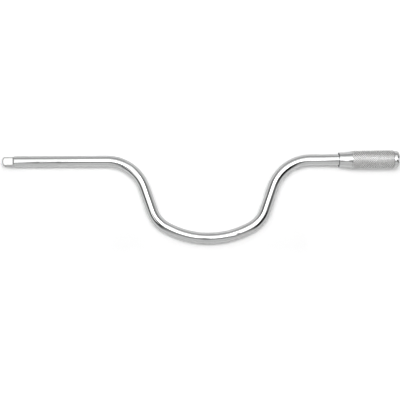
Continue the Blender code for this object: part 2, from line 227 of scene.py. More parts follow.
def bar_radius(length, angles):
    """The bar's radius, with the slight ripple that bending and polishing leave."""
    radius = np.full_like(angles, BAR_RADIUS)
    for column, angle in enumerate(angles):
        round_bar = (RIPPLES_ROUND * math.cos(angle), RIPPLES_ROUND * math.sin(angle))
        radius[column] -= RIPPLE_DEPTH * (noise.noise(Vector((length * RIPPLES_ALONG, *round_bar))) + 1)
    for place, turn, run, depth in FORMER_MARKS:
        along = math.exp(-(((length - place) / run) ** 2))
        swing = (np.degrees(angles) + turn + 180) % 360 - 180
        radius -= depth * along * np.exp(-((swing / MARK_SWING) ** 2))
    return radius


ROUND_BAR_START = 0.0180
SPINDLE_OUTLINE = [
    (SHOULDER_DEPTH + EDGE_BREAK, BAR_RADIUS - 3 * EDGE_BREAK),
    (SHOULDER_DEPTH + EDGE_BREAK, SPINDLE_RADIUS + 2 * EDGE_BREAK),
    (SHOULDER_DEPTH + 2 * EDGE_BREAK, SPINDLE_RADIUS),
    (RING_GROOVE[0] - EDGE_BREAK, SPINDLE_RADIUS),
    (RING_GROOVE[0], SPINDLE_RADIUS - EDGE_BREAK),
    (RING_GROOVE[0], GROOVE_FLOOR),
    (RING_GROOVE[1], GROOVE_FLOOR),
    (RING_GROOVE[1], SPINDLE_RADIUS - EDGE_BREAK),
    (RING_GROOVE[1] + EDGE_BREAK, SPINDLE_RADIUS),
    (SPINDLE_END - 5 * EDGE_BREAK, SPINDLE_RADIUS),
    (SPINDLE_END, SPINDLE_RADIUS - 5 * EDGE_BREAK),
    (SPINDLE_END, SPINDLE_FACE_RADIUS),
]


def band_faces(rows, columns):
    """Four-sided faces between rows of points that each run once round."""
    faces = []
    for row in range(rows - 1):
        near, far = row * columns, (row + 1) * columns
        for column in range(columns):
            beside = (column + 1) % columns
            faces.append((near + column, far + column, far + beside, near + beside))
    return faces


def build_crank_bar():
    """The whole bar as one mesh, which also stores where each point lay on the bar while it was straight."""
    places, straight = [], []

    def add_ring(x, y, heading, radii, angles, length):
        side = radii * np.cos(angles)
        up = radii * np.sin(angles)
        places.append(np.stack([x - math.sin(heading) * side, y + math.cos(heading) * side, up], 1))
        straight.append(np.stack([length + 0 * side, side, up], 1))

    for x, radii, angles in drive_rings():
        add_ring(x, 0.0, 0.0, radii, angles, x)
    stations = walk_crank()
    for x, y, heading, length in stations:
        if length > ROUND_BAR_START:
            add_ring(x, y, heading, bar_radius(length, EVEN_ANGLES), EVEN_ANGLES, length)
    shoulder, _, _, travelled = stations[-1]
    mouth = shoulder - SHOULDER_DEPTH
    for depth, radius in SPINDLE_OUTLINE:
        length = travelled + depth - SHOULDER_DEPTH
        add_ring(mouth + depth, 0.0, 0.0, np.full(COLUMNS, radius), EVEN_ANGLES, length)
    rows = len(places)
    tip, end = rows * COLUMNS, rows * COLUMNS + 1
    places.append(np.array([[0, 0, 0], [mouth + SPINDLE_END, 0, 0]]))
    straight.append(np.array([[0, 0, 0], [travelled + SPINDLE_END - SHOULDER_DEPTH, 0, 0]]))
    faces = band_faces(rows, COLUMNS)
    last = (rows - 1) * COLUMNS
    for column in range(COLUMNS):
        beside = (column + 1) % COLUMNS
        faces += [(tip, column, beside), (end, last + beside, last + column)]
    mesh = bpy.data.meshes.new("crank_bar_chrome")
    mesh.from_pydata(np.concatenate(places).tolist(), [], faces)
    lay = mesh.attributes.new("lay", "FLOAT_VECTOR", "POINT")
    lay.data.foreach_set("vector", np.concatenate(straight).astype(np.float32).ravel())
    return mesh


def add_object(name, data):
    """A new object with the data, in the scene."""
    new = bpy.data.objects.new(name, data)
    bpy.context.scene.collection.objects.link(new)
    return new


CREASE = 35.0


def show(mesh, name, *finishes, crease=CREASE):
    """Puts a mesh in the scene as a piece with its finishes, shaded smooth up to its creases."""
    for surface in finishes:
        mesh.materials.append(surface)
    mesh.shade_smooth()
    mesh.set_sharp_from_angle(angle=math.radians(crease))
    return add_object(name, mesh)


class Signal:
    """A value that a node puts out. Reckoning with it adds Math nodes to its tree."""

    def __init__(self, socket):
        self.socket = socket
        self.id_data = socket.id_data

    def __add__(self, other):
        return maths("ADD", self, other)

    def __sub__(self, other):
        return maths("SUBTRACT", self, other)

    def __rsub__(self, other):
        return maths("SUBTRACT", other, self)

    def __mul__(self, other):
        return maths("MULTIPLY", self, other)

    def __truediv__(self, other):
        return maths("DIVIDE", self, other)

    def __rtruediv__(self, other):
        return maths("DIVIDE", other, self)


def feed(socket, value):
    """Links a node's input to a signal or an output, or sets it to a plain value."""
    if isinstance(value, Signal):
        value = value.socket
    if isinstance(value, bpy.types.NodeSocket):
        socket.id_data.links.new(value, socket)
    else:
        socket.default_value = value


def maths(operation, *values):
    """A Math node on signals, outputs and plain numbers, in the tree of the first that has one."""
    tree = next(value.id_data for value in values if hasattr(value, "id_data"))
    node = tree.nodes.new("ShaderNodeMath")
    node.operation = operation
    for socket, value in zip(node.inputs, values):
        feed(socket, value)
    return Signal(node.outputs[0])


def add_node(tree, kind, **given):
    """A new node with some of its inputs fed, each named with _ for a space."""
    node = tree.nodes.new(kind)
    for label, value in given.items():
        feed(node.inputs[label.replace("_", " ")], value)
    return node


def parts_of(vector):
    """The X, Y and Z of a vector output."""
    return [Signal(part) for part in add_node(vector.id_data, "ShaderNodeSeparateXYZ", Vector=vector).outputs]


def object_place(tree):
    """Where a point lies in its object."""
    return tree.nodes.new("ShaderNodeTexCoord").outputs["Object"]


def noise_value(vector, scale, detail=2.0, stretch=(1, 1, 1), turn=(0, 0, 0)):
    """Noise over a stretched and turned pattern space."""
    tree = vector.id_data
    lay = add_node(tree, "ShaderNodeMapping", Vector=vector, Scale=stretch, Rotation=turn)
    grain = add_node(tree, "ShaderNodeTexNoise", Vector=lay.outputs[0], Scale=scale, Detail=detail)
    return Signal(grain.outputs["Fac"])


def ramp(value, low, high):
    """0 below low, 1 above high, straight between."""
    node = add_node(value.id_data, "ShaderNodeMapRange", Value=value, From_Min=low, From_Max=high)
    return Signal(node.outputs["Result"])


def mix_colour(share, first, second):
    """A colour that is the first where the share is 0 and the second where it is 1."""
    node = share.id_data.nodes.new("ShaderNodeMix")
    node.data_type = "RGBA"
    for index, value in ((0, share), (6, first), (7, second)):
        feed(node.inputs[index], value)
    return node.outputs[2]


def bump(shader, height, distance):
    """Gives a shader the slight relief of a height, which is this deep."""
    node = add_node(height.id_data, "ShaderNodeBump", Distance=distance, Height=height)
    feed(shader.inputs["Normal"], node.outputs["Normal"])


def build_plating_group():
    """What polishing and handling leave on plated steel: belt lines, scratches, smudges and slow ripple."""
    group = bpy.data.node_groups.new("polished plating", "ShaderNodeTree")
    group.interface.new_socket("Lay", in_out="INPUT", socket_type="NodeSocketVector")
    for label in ("Lines", "Scratches"):
        group.interface.new_socket(label, in_out="INPUT", socket_type="NodeSocketFloat")
    for label in ("Dullness", "Height", "Tone"):
        group.interface.new_socket(label, in_out="OUTPUT", socket_type="NodeSocketFloat")
    given = group.nodes.new("NodeGroupInput").outputs
    made = group.nodes.new("NodeGroupOutput").inputs
    lay = given["Lay"]
    lines = ramp(noise_value(lay, 9000.0, 1.0, (1.0, 0.03, 0.03)), 0.45, 0.8) * given["Lines"]
    scratches = []
    for turn, narrow in ((0.5, 0.02), (-0.9, 0.015), (1.4, 0.03)):
        streak = noise_value(lay, 1500.0, 0.0, (narrow, 1.0, 1.0), (turn, turn * 1.7, turn * 0.6))
        scratches.append(ramp(streak, 0.80, 0.84))
    scratch = maths("MAXIMUM", scratches[0], maths("MAXIMUM", *scratches[1:])) * given["Scratches"]
    smudge = ramp(noise_value(lay, 70.0, 4.0), 0.45, 0.75)
    feed(made["Dullness"], lines * 0.03 + scratch * 0.18 + smudge * 0.07)
    feed(made["Height"], lines * -0.06 + scratch * -0.5 + noise_value(lay, 420.0, 1.0) * 0.6)
    feed(made["Tone"], smudge * 0.25 + scratch * 0.4)
    return group


plating = build_plating_group()
METAL_TINT = (0.72, 0.72, 0.72, 1.0)
SMUDGED_SHARE = 0.86
PLATING_BUMP = 0.0000035


def metal(name, roughness):
    """A Principled metal, with the tree and shader to go on from."""
    surface = bpy.data.materials.new(name)
    surface.use_nodes = True
    tree = surface.node_tree
    shader = tree.nodes["Principled BSDF"]
    shader.inputs["Metallic"].default_value = 1.0
    shader.inputs["Roughness"].default_value = roughness
    shader.inputs["Specular Tint"].default_value = METAL_TINT
    return surface, tree, shader


def stored(tree, name):
    """The outputs of what the mesh stores under a name."""
    node = tree.nodes.new("ShaderNodeAttribute")
    node.attribute_name = name
    return node.outputs


def plated(name, roughness, lines=1.0, scratches=1.0, on_bar=False):
    """Chrome plating over polished steel. The bar's lines follow its bends, and it is worn at the drive."""
    surface, tree, shader = metal(name, roughness)
    lay = stored(tree, "lay")["Vector"] if on_bar else object_place(tree)
    effect = tree.nodes.new("ShaderNodeGroup")
    effect.node_tree = plating
    for label, value in (("Lay", lay), ("Lines", lines), ("Scratches", scratches)):
        feed(effect.inputs[label], value)
    smudged = tuple(SMUDGED_SHARE * part for part in CHROME[:3]) + (1.0,)
    tone = mix_colour(effect.outputs["Tone"], CHROME, smudged)
    dull = Signal(effect.outputs["Dullness"]) + roughness
    if on_bar:
        mask = Signal(stored(tree, "rub")["Fac"]) * ramp(noise_value(lay, 900.0, 4.0), 0.35, 0.62)
        tone = mix_colour(mask, tone, WORN_STEEL)
        dull = dull + mask * 0.22
    feed(shader.inputs["Base Color"], tone)
    feed(shader.inputs["Roughness"], dull)
    bump(shader, effect.outputs["Height"], PLATING_BUMP)
    return surface


CORNER_RUB = 0.0005
TIP_RUB = 0.0008


def rub_edges(mesh):
    """Stores how much a socket has rubbed each point of the square: most on its corners and its tip."""
    rub = mesh.attributes.new("rub", "FLOAT", "POINT")
    values = np.zeros(len(mesh.vertices), np.float32)
    for vert in mesh.vertices:
        x, side, up = vert.co
        if x > SQUARE_LENGTH + RAMP:
            continue
        off_corner = abs(math.hypot(side, up) - BAR_RADIUS) / CORNER_RUB
        off_tip = abs(math.hypot(side, up) - TIP_FACE_RADIUS - x) / TIP_RUB
        values[vert.index] = max(0.0, 1 - min(off_corner, off_tip))
    rub.data.foreach_set("value", values)


bar_chrome = plated("Polished chrome bar", 0.075, on_bar=True)
bar_mesh = build_crank_bar()
rub_edges(bar_mesh)
crank_bar = show(bar_mesh, "bent_bar", bar_chrome)
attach(crank_bar, "brace")
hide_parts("crank_bar")


# Ball and spring: a hardened steel ball, pushed out through the lower flat by a small coil spring. The rim of
# its hole is staked over it with a ring punch, so that it can't fall out.
BALL_RADIUS = 0.0016
BALL_STEPS = 28
BALL_SETBACK = 0.0056
BALL_PROUD = 0.0008
HOLE_RADIUS = 0.00172
LIP_RADIUS = 0.00150
HOLE_FLOOR = 0.002565
PUNCH_RADII = (0.00192, 0.00198)
PUNCH_DEPTH = 0.00014
PUNCH_FLARE = 0.00014
PUNCH_ABOVE = 0.0005
LIP_THICKNESS = 0.0003
DRILL_ABOVE = 0.0020
DRILL_STEPS = 64
ON_AXIS = 1e-7


def outward_mesh(name, verts, faces):
    """A mesh with all its faces turned outwards."""
    mesh = bpy.data.meshes.new(name)
    mesh.from_pydata(verts, [], faces)
    shape = bmesh.new()
    shape.from_mesh(mesh)
    bmesh.ops.recalc_face_normals(shape, faces=shape.faces)
    shape.to_mesh(mesh)
    shape.free()
    return mesh


def lathe(name, outline, steps, axis="X", at=(0, 0, 0), closed=True):
    """Turns an outline of (along, radius) points about an axis. Points on the axis close to a pole."""
    verts, rings = [], []
    for along, radius in outline:
        if radius < ON_AXIS:
            rings.append([len(verts)] * steps)
            verts.append((along, 0, 0))
        else:
            rings.append(list(range(len(verts), len(verts) + steps)))
            for step in range(steps):
                angle = 2 * math.pi * step / steps
                verts.append((along, radius * math.cos(angle), radius * math.sin(angle)))
    faces = []
    pairs = [(i, i + 1) for i in range(len(outline) - 1)]
    if closed:
        pairs.append((len(outline) - 1, 0))
    for first, second in pairs:
        if outline[first][1] < ON_AXIS and outline[second][1] < ON_AXIS:
            continue
        for step in range(steps):
            beside = (step + 1) % steps
            corners = [rings[first][step], rings[second][step], rings[second][beside], rings[first][beside]]
            unique = list(dict.fromkeys(corners))
            if len(unique) > 2:
                faces.append(unique)
    if axis == "Z":
        verts = [(y, z, x) for x, y, z in verts]
    verts = [(x + at[0], y + at[1], z + at[2]) for x, y, z in verts]
    return outward_mesh(name, verts, faces)


def evaluated_mesh(holder):
    """What an object's modifiers or curves come to, as a mesh of its own."""
    bpy.context.view_layer.update()
    return bpy.data.meshes.new_from_object(holder.evaluated_get(bpy.context.evaluated_depsgraph_get()))


def take_off(piece, tool_mesh):
    """Cuts a piece with a tool's mesh and keeps a plain mesh, with no doubled points along the cut."""
    tool = add_object("tool", tool_mesh)
    cut = piece.modifiers.new("cut", "BOOLEAN")
    cut.operation = "DIFFERENCE"
    cut.solver = "EXACT"
    cut.object = tool
    old = piece.data
    piece.data = evaluated_mesh(piece)
    piece.data.name = old.name
    piece.modifiers.clear()
    bpy.data.objects.remove(tool, do_unlink=True)
    bpy.data.meshes.remove(old)
    shape = bmesh.new()
    shape.from_mesh(piece.data)
    bmesh.ops.remove_doubles(shape, verts=shape.verts, dist=1e-6)
    bmesh.ops.dissolve_degenerate(shape, edges=shape.edges, dist=1e-6)
    shape.to_mesh(piece.data)
    shape.free()


hole = [
    (HOLE_FLOOR, 0),
    (HOLE_FLOOR, HOLE_RADIUS),
    (-SQUARE_HALF + LIP_THICKNESS, HOLE_RADIUS),
    (-SQUARE_HALF + EDGE_BREAK, LIP_RADIUS),
    (-SQUARE_HALF - EDGE_BREAK, LIP_RADIUS + EDGE_BREAK / 2),
    (-SQUARE_HALF - DRILL_ABOVE, LIP_RADIUS + EDGE_BREAK / 2),
    (-SQUARE_HALF - DRILL_ABOVE, 0),
]
stake = [
    (-SQUARE_HALF - PUNCH_ABOVE, PUNCH_RADII[0] - PUNCH_FLARE),
    (-SQUARE_HALF + PUNCH_DEPTH, PUNCH_RADII[0]),
    (-SQUARE_HALF + PUNCH_DEPTH, PUNCH_RADII[1]),
    (-SQUARE_HALF - PUNCH_ABOVE, PUNCH_RADII[1] + PUNCH_FLARE),
]
for name, outline in (("drill", hole), ("ring punch", stake)):
    take_off(crank_bar, lathe(name, outline, DRILL_STEPS, "Z", (BALL_SETBACK, 0, 0)))
crank_bar.data.set_sharp_from_angle(angle=math.radians(CREASE))


def plain_finish(name, colour, other, roughness, grains, depth):
    """A metal whose grain darkens and dulls it in places."""
    surface, tree, shader = metal(name, roughness)
    grain = ramp(noise_value(object_place(tree), grains, 4.0), 0.35, 0.7)
    feed(shader.inputs["Base Color"], mix_colour(grain, colour, other))
    feed(shader.inputs["Roughness"], grain * 0.15 + roughness)
    bump(shader, grain, depth)
    return surface


swings = [math.pi * i / BALL_STEPS for i in range(1, BALL_STEPS)]
ball_outline = [(-BALL_RADIUS * math.cos(swing), BALL_RADIUS * math.sin(swing)) for swing in swings]
ball_outline = [(-BALL_RADIUS, 0), *ball_outline, (BALL_RADIUS, 0)]
ball_place = (BALL_SETBACK, 0, BALL_RADIUS - BALL_PROUD - SQUARE_HALF)
ball_colours = ((0.56, 0.56, 0.56, 1), (0.47, 0.46, 0.45, 1))
ball_steel = plain_finish("Hardened steel ball", *ball_colours, roughness=0.11, grains=2500, depth=1e-6)
ball = show(lathe("ball", ball_outline, 48, "Z", ball_place), "socket_ball", ball_steel)
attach(ball, "ball")
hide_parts("detent_ball")

SPRING_WIRE = 0.0002
SPRING_COIL = 0.0014
SPRING_FOOT = -0.001865
SPRING_HEAD = 0.002065
SPRING_TURNS = 5.0
CLOSED_TURNS = 0.8
CLOSED_PITCH = 2.1 * SPRING_WIRE


def coil_spring():
    """A wire wound into a coil with closed ends, which are ground flat."""
    steps, sides = 180, 12
    closed_rise = CLOSED_TURNS * CLOSED_PITCH
    open_pitch = (SPRING_HEAD - SPRING_FOOT - 2 * closed_rise) / (SPRING_TURNS - 2 * CLOSED_TURNS)
    verts = []
    for step in range(steps + 1):
        turns = SPRING_TURNS * step / steps
        rise = min(turns, CLOSED_TURNS) * CLOSED_PITCH
        rise += min(max(turns - CLOSED_TURNS, 0), SPRING_TURNS - 2 * CLOSED_TURNS) * open_pitch
        rise += max(turns - SPRING_TURNS + CLOSED_TURNS, 0) * CLOSED_PITCH
        angle = 2 * math.pi * turns
        for side in range(sides):
            swing = 2 * math.pi * side / sides
            out = SPRING_COIL + SPRING_WIRE * math.cos(swing)
            height = SPRING_FOOT + rise + SPRING_WIRE * math.sin(swing)
            height = min(max(height, SPRING_FOOT - SPRING_WIRE / 2), SPRING_HEAD + SPRING_WIRE / 2)
            verts.append((BALL_SETBACK + out * math.cos(angle), out * math.sin(angle), height))
    faces = band_faces(steps + 1, sides)
    faces.append(list(range(sides)))
    faces.append([steps * sides + side for side in reversed(range(sides))])
    return outward_mesh("coil_spring", verts, faces)


spring_colours = ((0.40, 0.40, 0.42, 1), (0.26, 0.26, 0.28, 1))
spring_steel = plain_finish("Spring wire", *spring_colours, roughness=0.26, grains=6000, depth=2e-6)
spring = show(coil_spring(), "wound_spring", spring_steel, crease=50.0)
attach(spring, "brace")
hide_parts("detent_spring")
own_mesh(spring)


# Revolving grip: a steel sleeve that spins on the bar, with a polished neck and a diamond knurl. It is
# turned, the knurl is rolled into its barrel, and it is plated all over.
MOUTH = 0.3606
NECK_RADIUS = 0.00785
NECK_BORE = 0.0063
NECK_LENGTH = 0.0140
NECK_STRAIGHT = 0.0015
NECK_FLARE = 0.0013
BARREL_FRONT = MOUTH + NECK_LENGTH
BARREL_FRONT_RADIUS = 0.00950
BARREL_REAR_RADIUS = 0.00980
BARREL_LENGTH = 0.0443
BARREL_CHAMFER = 0.00055
KNURL_DEPTH = 0.00028
KNURL_AROUND = 28
KNURL_ALONG = 20
SLEEVE_BORE = 0.0057
REAR_BORE = 0.0073
FRONT_SEAT = 0.0143
REAR_SEAT = 0.0476
FRONT_RIM = 0.00892
REAR_RIM = 0.00918


def arc(centre, radius, start, end, steps):
    """Points of an arc in an outline, with angles from the turning axis in degrees."""
    angles = [math.radians(start + (end - start) * i / steps) for i in range(steps + 1)]
    return [(centre[0] + radius * math.cos(a), centre[1] + radius * math.sin(a)) for a in angles]


def sleeve_section():
    """Half section of all but the knurl, from the barrel's rear rim through the bore to its front rim."""
    flare_run = NECK_LENGTH - NECK_STRAIGHT
    flare_radius = (flare_run**2 + NECK_FLARE**2) / (2 * NECK_FLARE)
    swing = math.degrees(math.asin(flare_run / flare_radius))
    flare = arc((NECK_STRAIGHT, NECK_RADIUS + flare_radius), flare_radius, -90, swing - 90, 24)
    end = NECK_LENGTH + BARREL_LENGTH
    return [
        (end, REAR_RIM - 0.00005),
        (end, REAR_BORE + 0.0002),
        (end - 0.0002, REAR_BORE),
        (REAR_SEAT, REAR_BORE),
        (REAR_SEAT, SLEEVE_BORE),
        (FRONT_SEAT, SLEEVE_BORE),
        (FRONT_SEAT, NECK_BORE),
        (0.0007, NECK_BORE),
        (0.00055, NECK_BORE + 0.00003),
        (0.00008, NECK_BORE + 0.00072),
        (0, NECK_BORE + 0.0008),
        (0, NECK_RADIUS - 0.00025),
        *arc((0.00025, NECK_RADIUS - 0.00025), 0.00025, 180, 90, 5)[1:],
        *flare[:-1],
        (NECK_LENGTH - 0.00030, flare[-1][1] - 0.00002),
        (NECK_LENGTH - 0.00010, FRONT_RIM - 0.00008),
        (NECK_LENGTH - 0.00002, FRONT_RIM - 0.00008),
    ]


# The squares of a diamond point above its foot: how far each rises over the one below, and its size beside it
POINT_SQUARES = ((0.08, 0.93), (0.52, 0.79), (0.20, 0.80), (0.20, 0.42))
UP = (0, 0, 1)
KNURL_SIZES = {
    "Around": KNURL_AROUND,
    "Along": KNURL_ALONG,
    "Front": BARREL_FRONT,
    "Length": BARREL_LENGTH,
    "Front Radius": BARREL_FRONT_RADIUS,
    "Rear Radius": BARREL_REAR_RADIUS,
    "Depth": KNURL_DEPTH,
}


def build_knurl_tree():
    """Lays out a flat sheet of diamond points, with a groove between them, and rolls it round the barrel."""
    tree = bpy.data.node_groups.new("rolled diamond knurl", "GeometryNodeTree")
    for label, size in KNURL_SIZES.items():
        kind = "NodeSocketInt" if isinstance(size, int) else "NodeSocketFloat"
        tree.interface.new_socket(label, in_out="INPUT", socket_type=kind)
    tree.interface.new_socket("Finish", in_out="INPUT", socket_type="NodeSocketMaterial")
    tree.interface.new_socket("Geometry", in_out="OUTPUT", socket_type="NodeSocketGeometry")
    given = tree.nodes.new("NodeGroupInput").outputs
    signals = [Signal(given[label]) for label in KNURL_SIZES]
    around, along, front, length, front_radius, rear_radius, depth = signals

    def node(kind, **inputs):
        return add_node(tree, kind, **inputs)

    def vector(*parts):
        return node("ShaderNodeCombineXYZ", **dict(zip("XYZ", parts))).outputs[0]

    # One diamond point
    foot = node("GeometryNodeMeshCircle", Vertices=4)
    foot.fill_type = "NGON"
    shape, top = foot.outputs[0], True
    for rise, share in POINT_SQUARES:
        pulled = node("GeometryNodeExtrudeMesh", Mesh=shape, Selection=top, Offset=UP, Offset_Scale=rise)
        shape, top = pulled.outputs["Mesh"], pulled.outputs["Top"]
        shape = node("GeometryNodeScaleElements", Geometry=shape, Selection=top, Scale=share).outputs[0]

    # The sheet: one point at every other crossing of a grid of half pitches
    columns = around * 2
    half_pitch = length / (along * 2)
    rows = along * 2 + 3
    grid = node("GeometryNodeMeshGrid", Vertices_X=rows, Vertices_Y=columns)
    index = Signal(tree.nodes.new("GeometryNodeInputIndex").outputs[0])
    row = maths("FLOOR", index / columns)
    column = index - row * columns
    every_other = maths("LESS_THAN", maths("MODULO", row + column, 2), 0.5)
    laid = node("GeometryNodeSetPosition", Geometry=grid.outputs[0], Position=vector(row - 1, column, 0.0))
    spots = laid.outputs[0]
    chosen = node("GeometryNodeInstanceOnPoints", Points=spots, Instance=shape, Selection=every_other)
    loose = node("GeometryNodeRealizeInstances", Geometry=chosen.outputs[0])
    joined = node("GeometryNodeMergeByDistance", Geometry=loose.outputs[0], Distance=0.01)

    # Rolled up: one unit of the sheet is half a pitch, and the barrel swells a little towards its rear
    sheet_x, sheet_y, sheet_z = parts_of(tree.nodes.new("GeometryNodeInputPosition").outputs[0])
    x = front + sheet_x * half_pitch
    turn = sheet_y * (math.pi / around)
    crest = front_radius + (rear_radius - front_radius) * ((x - front) / length)
    radius = crest - (1.0 - sheet_z) * depth
    rolled = vector(x, radius * maths("COSINE", turn), radius * maths("SINE", turn))
    wrapped = node("GeometryNodeSetPosition", Geometry=joined.outputs[0], Position=rolled)
    closed = node("GeometryNodeMergeByDistance", Geometry=wrapped.outputs[0], Distance=0.000002)
    finished = node("GeometryNodeSetMaterial", Geometry=closed.outputs[0], Material=given["Finish"])
    feed(tree.nodes.new("NodeGroupOutput").inputs[0], finished.outputs[0])
    return tree


def roll_knurl(finish):
    """The knurl as the rolls leave it: a tube of diamond points, a little longer than the barrel."""
    carrier = add_object("knurl", bpy.data.meshes.new("knurl"))
    roll = carrier.modifiers.new("roll", "NODES")
    roll.node_group = build_knurl_tree()
    values = {**KNURL_SIZES, "Finish": finish}
    for socket in roll.node_group.interface.items_tree:
        if socket.in_out == "INPUT":
            roll[socket.identifier] = values[socket.name]
    mesh = evaluated_mesh(carrier)
    bpy.data.objects.remove(carrier, do_unlink=True)
    return mesh


CHAMFER_CUTS = (0.0, 0.2, 0.4, 0.6, 0.8, 1.0)


def chamfer_knurl(shape):
    """Trims the knurled tube to the barrel's length and turns a chamfer on both ends, down to a round rim."""
    for end, inward, rim, crest in (
        (BARREL_FRONT, 1, FRONT_RIM, BARREL_FRONT_RADIUS),
        (BARREL_FRONT + BARREL_LENGTH, -1, REAR_RIM, BARREL_REAR_RADIUS),
    ):
        for share in CHAMFER_CUTS:
            bmesh.ops.bisect_plane(
                shape,
                geom=list(shape.verts) + list(shape.edges) + list(shape.faces),
                plane_co=(end + inward * share * BARREL_CHAMFER, 0, 0),
                plane_no=(-inward, 0, 0),
                dist=1e-7,
                clear_outer=share == 0.0,
            )
        for vert in shape.verts:
            share = (vert.co.x - end) * inward / BARREL_CHAMFER
            radius = math.hypot(vert.co.y, vert.co.z)
            limit = rim + (crest - rim) * max(share, 0.0)
            if share < 1.0 and (radius > limit or share < 0.01):
                vert.co.y *= limit / radius
                vert.co.z *= limit / radius


def join_rims(shape, knurl_rim, turned_rim):
    """Closes the gap between two open rims round the same axis, with a band of triangles."""
    rims = []
    for rim in (knurl_rim, turned_rim):
        ring = sorted(((math.atan2(vert.co.z, vert.co.y), vert) for vert in rim), key=lambda spot: spot[0])
        rims.append(ring + [(ring[0][0] + 2 * math.pi, ring[0][1])])
    first, second = rims
    at, beside = 0, 0
    while at < len(first) - 1 or beside < len(second) - 1:
        first_left, second_left = at < len(first) - 1, beside < len(second) - 1
        onward = first_left and (not second_left or first[at + 1][0] <= second[beside + 1][0])
        corners = [first[at][1], second[beside][1], (first[at + 1] if onward else second[beside + 1])[1]]
        shape.faces.new(corners)
        at, beside = at + onward, beside + (not onward)


def knurled_sleeve(finish):
    """The whole sleeve as one closed mesh: the knurl joined to the turned rest of it at both rims."""
    shape = bmesh.new()
    shape.from_mesh(roll_knurl(finish))
    chamfer_knurl(shape)
    knurl_points = len(shape.verts)
    shape.from_mesh(lathe("sleeve section", sleeve_section(), 144, at=(MOUTH, 0, 0), closed=False))
    shape.verts.index_update()
    middle = BARREL_FRONT + BARREL_LENGTH / 2
    for ahead in (False, True):
        open_points = [vert for vert in shape.verts if vert.is_boundary and (vert.co.x > middle) == ahead]
        join_rims(
            shape,
            [vert for vert in open_points if vert.index < knurl_points],
            [vert for vert in open_points if vert.index >= knurl_points],
        )
    bmesh.ops.recalc_face_normals(shape, faces=shape.faces)
    mesh = bpy.data.meshes.new("knurled_sleeve")
    shape.to_mesh(mesh)
    shape.free()
    return mesh


KNURL_CREST = (0.94, 0.94, 0.935, 1)
KNURL_RUBBED = (0.95, 0.95, 0.945, 1)
KNURL_SHADED = (0.20, 0.20, 0.20, 1)
# Painted shade for the knurl's deep grooves
KNURL_GROOVE_SHADE = (0.09, 0.089, 0.085, 1)
# Painted shade for the sleeve's mouth and bore, pale and deep
MOUTH_SHADE_PALE = (0.15, 0.15, 0.15, 1)
MOUTH_SHADE_DEEP = (0.05, 0.049, 0.046, 1)


def knurled_finish():
    """Satin plating on the knurl: bright on the worn crests, with painted shade down in the grooves."""
    surface, tree, shader = metal("Satin chrome knurl", 0.36)
    lay = object_place(tree)
    x, y, z = parts_of(lay)
    gone = x - BARREL_FRONT
    taper = (BARREL_REAR_RADIUS - BARREL_FRONT_RADIUS) / BARREL_LENGTH
    radius = maths("SQRT", maths("POWER", y, 2.0) + maths("POWER", z, 2.0))
    depth = (gone * taper + BARREL_FRONT_RADIUS - radius) / KNURL_DEPTH
    # Each diamond point took the polish and the wear a little differently
    turn = maths("ARCTAN2", z, y) * (KNURL_AROUND / math.pi)
    step = gone * (2 * KNURL_ALONG / BARREL_LENGTH)
    cell = tree.nodes.new("ShaderNodeCombineXYZ")
    for socket, lattice in zip(cell.inputs, (step + turn, step - turn)):
        feed(socket, maths("FLOOR", lattice * 0.5 + 0.5))
    chance = Signal(add_node(tree, "ShaderNodeTexWhiteNoise", Vector=cell.outputs[0]).outputs["Value"])
    grain = noise_value(lay, 3500.0, 3.0)
    # Painted shade: the deep grooves are coloured nearly black in patches of the grain, but not on the front
    # chamfer
    groove_shade = ramp(depth, 0.34, 0.44) * ramp(grain, 0.1, 0.4) * ramp(gone, 0.0, BARREL_CHAMFER + 0.0004)
    rub = ramp(depth, 0.2, 0.0) * ramp(noise_value(lay, 300.0, 2.0), 0.4, 0.6)
    tone = mix_colour(rub, mix_colour(groove_shade, KNURL_CREST, KNURL_GROOVE_SHADE), KNURL_RUBBED)
    feed(shader.inputs["Base Color"], mix_colour(chance * 0.35, tone, KNURL_SHADED))
    feed(shader.inputs["Roughness"], groove_shade * 0.1 + 0.34 - rub * 0.04)
    bump(shader, grain, 0.00002)
    return surface


def mouth_shade_finish():
    """Turned steel in the mouth and the bore, coloured nearly black in patches as painted shade."""
    surface, tree, shader = metal("Painted mouth shade", 0.45)
    lay = object_place(tree)
    shade_patches = ramp(noise_value(lay, 600.0, 4.0), 0.3, 0.7)
    feed(shader.inputs["Base Color"], mix_colour(shade_patches, MOUTH_SHADE_PALE, MOUTH_SHADE_DEEP))
    feed(shader.inputs["Roughness"], shade_patches * 0.2 + 0.35)
    bump(shader, noise_value(lay, 5000.0, 1.0, (1.0, 0.02, 0.02)), 0.00001)
    return surface


KNURL_SKIN = 0.0007
NECK_SKIN = 0.00008
# How far in from the mouth the painted shade reaches
MOUTH_SHADE_RUN = 0.05

neck_chrome = plated("Polished chrome neck", 0.09, lines=0.6, scratches=0.8)
knurl_satin = knurled_finish()
sleeve_mesh = knurled_sleeve(knurl_satin)
sleeve_mesh.materials.clear()
sleeve = show(sleeve_mesh, "knurled_sleeve", neck_chrome, knurl_satin, mouth_shade_finish(), crease=24.0)
# Faces on the knurl take the satin finish; the mouth's chamfer and face and the bore take the painted shade
for face in sleeve.data.polygons:
    x, side, up = face.center
    radius = math.hypot(side, up)
    if x > BARREL_FRONT and radius > BARREL_FRONT_RADIUS - KNURL_SKIN:
        face.material_index = 1
    elif radius < NECK_RADIUS - NECK_SKIN and x < MOUTH + MOUTH_SHADE_RUN:
        face.material_index = 2
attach(sleeve, "grip")
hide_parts("grip_sleeve")


# End cap: turned from steel, polished and plated like the bar. Its hollow plug is pressed into the sleeve's
# rear and closes the hole that the circlip goes in by.
CAP_GAP = 0.00006
CAP_SEAT = BARREL_FRONT + BARREL_LENGTH + CAP_GAP
CAP_END = 0.4249
CAP_RADIUS = 0.0091
CAP_ROUND = 0.0028
CAP_FACE_RADIUS = 0.0025
CAP_PLUG = 0.0040
PLUG_RADIUS = 0.0072
PLUG_BORE = 0.0056

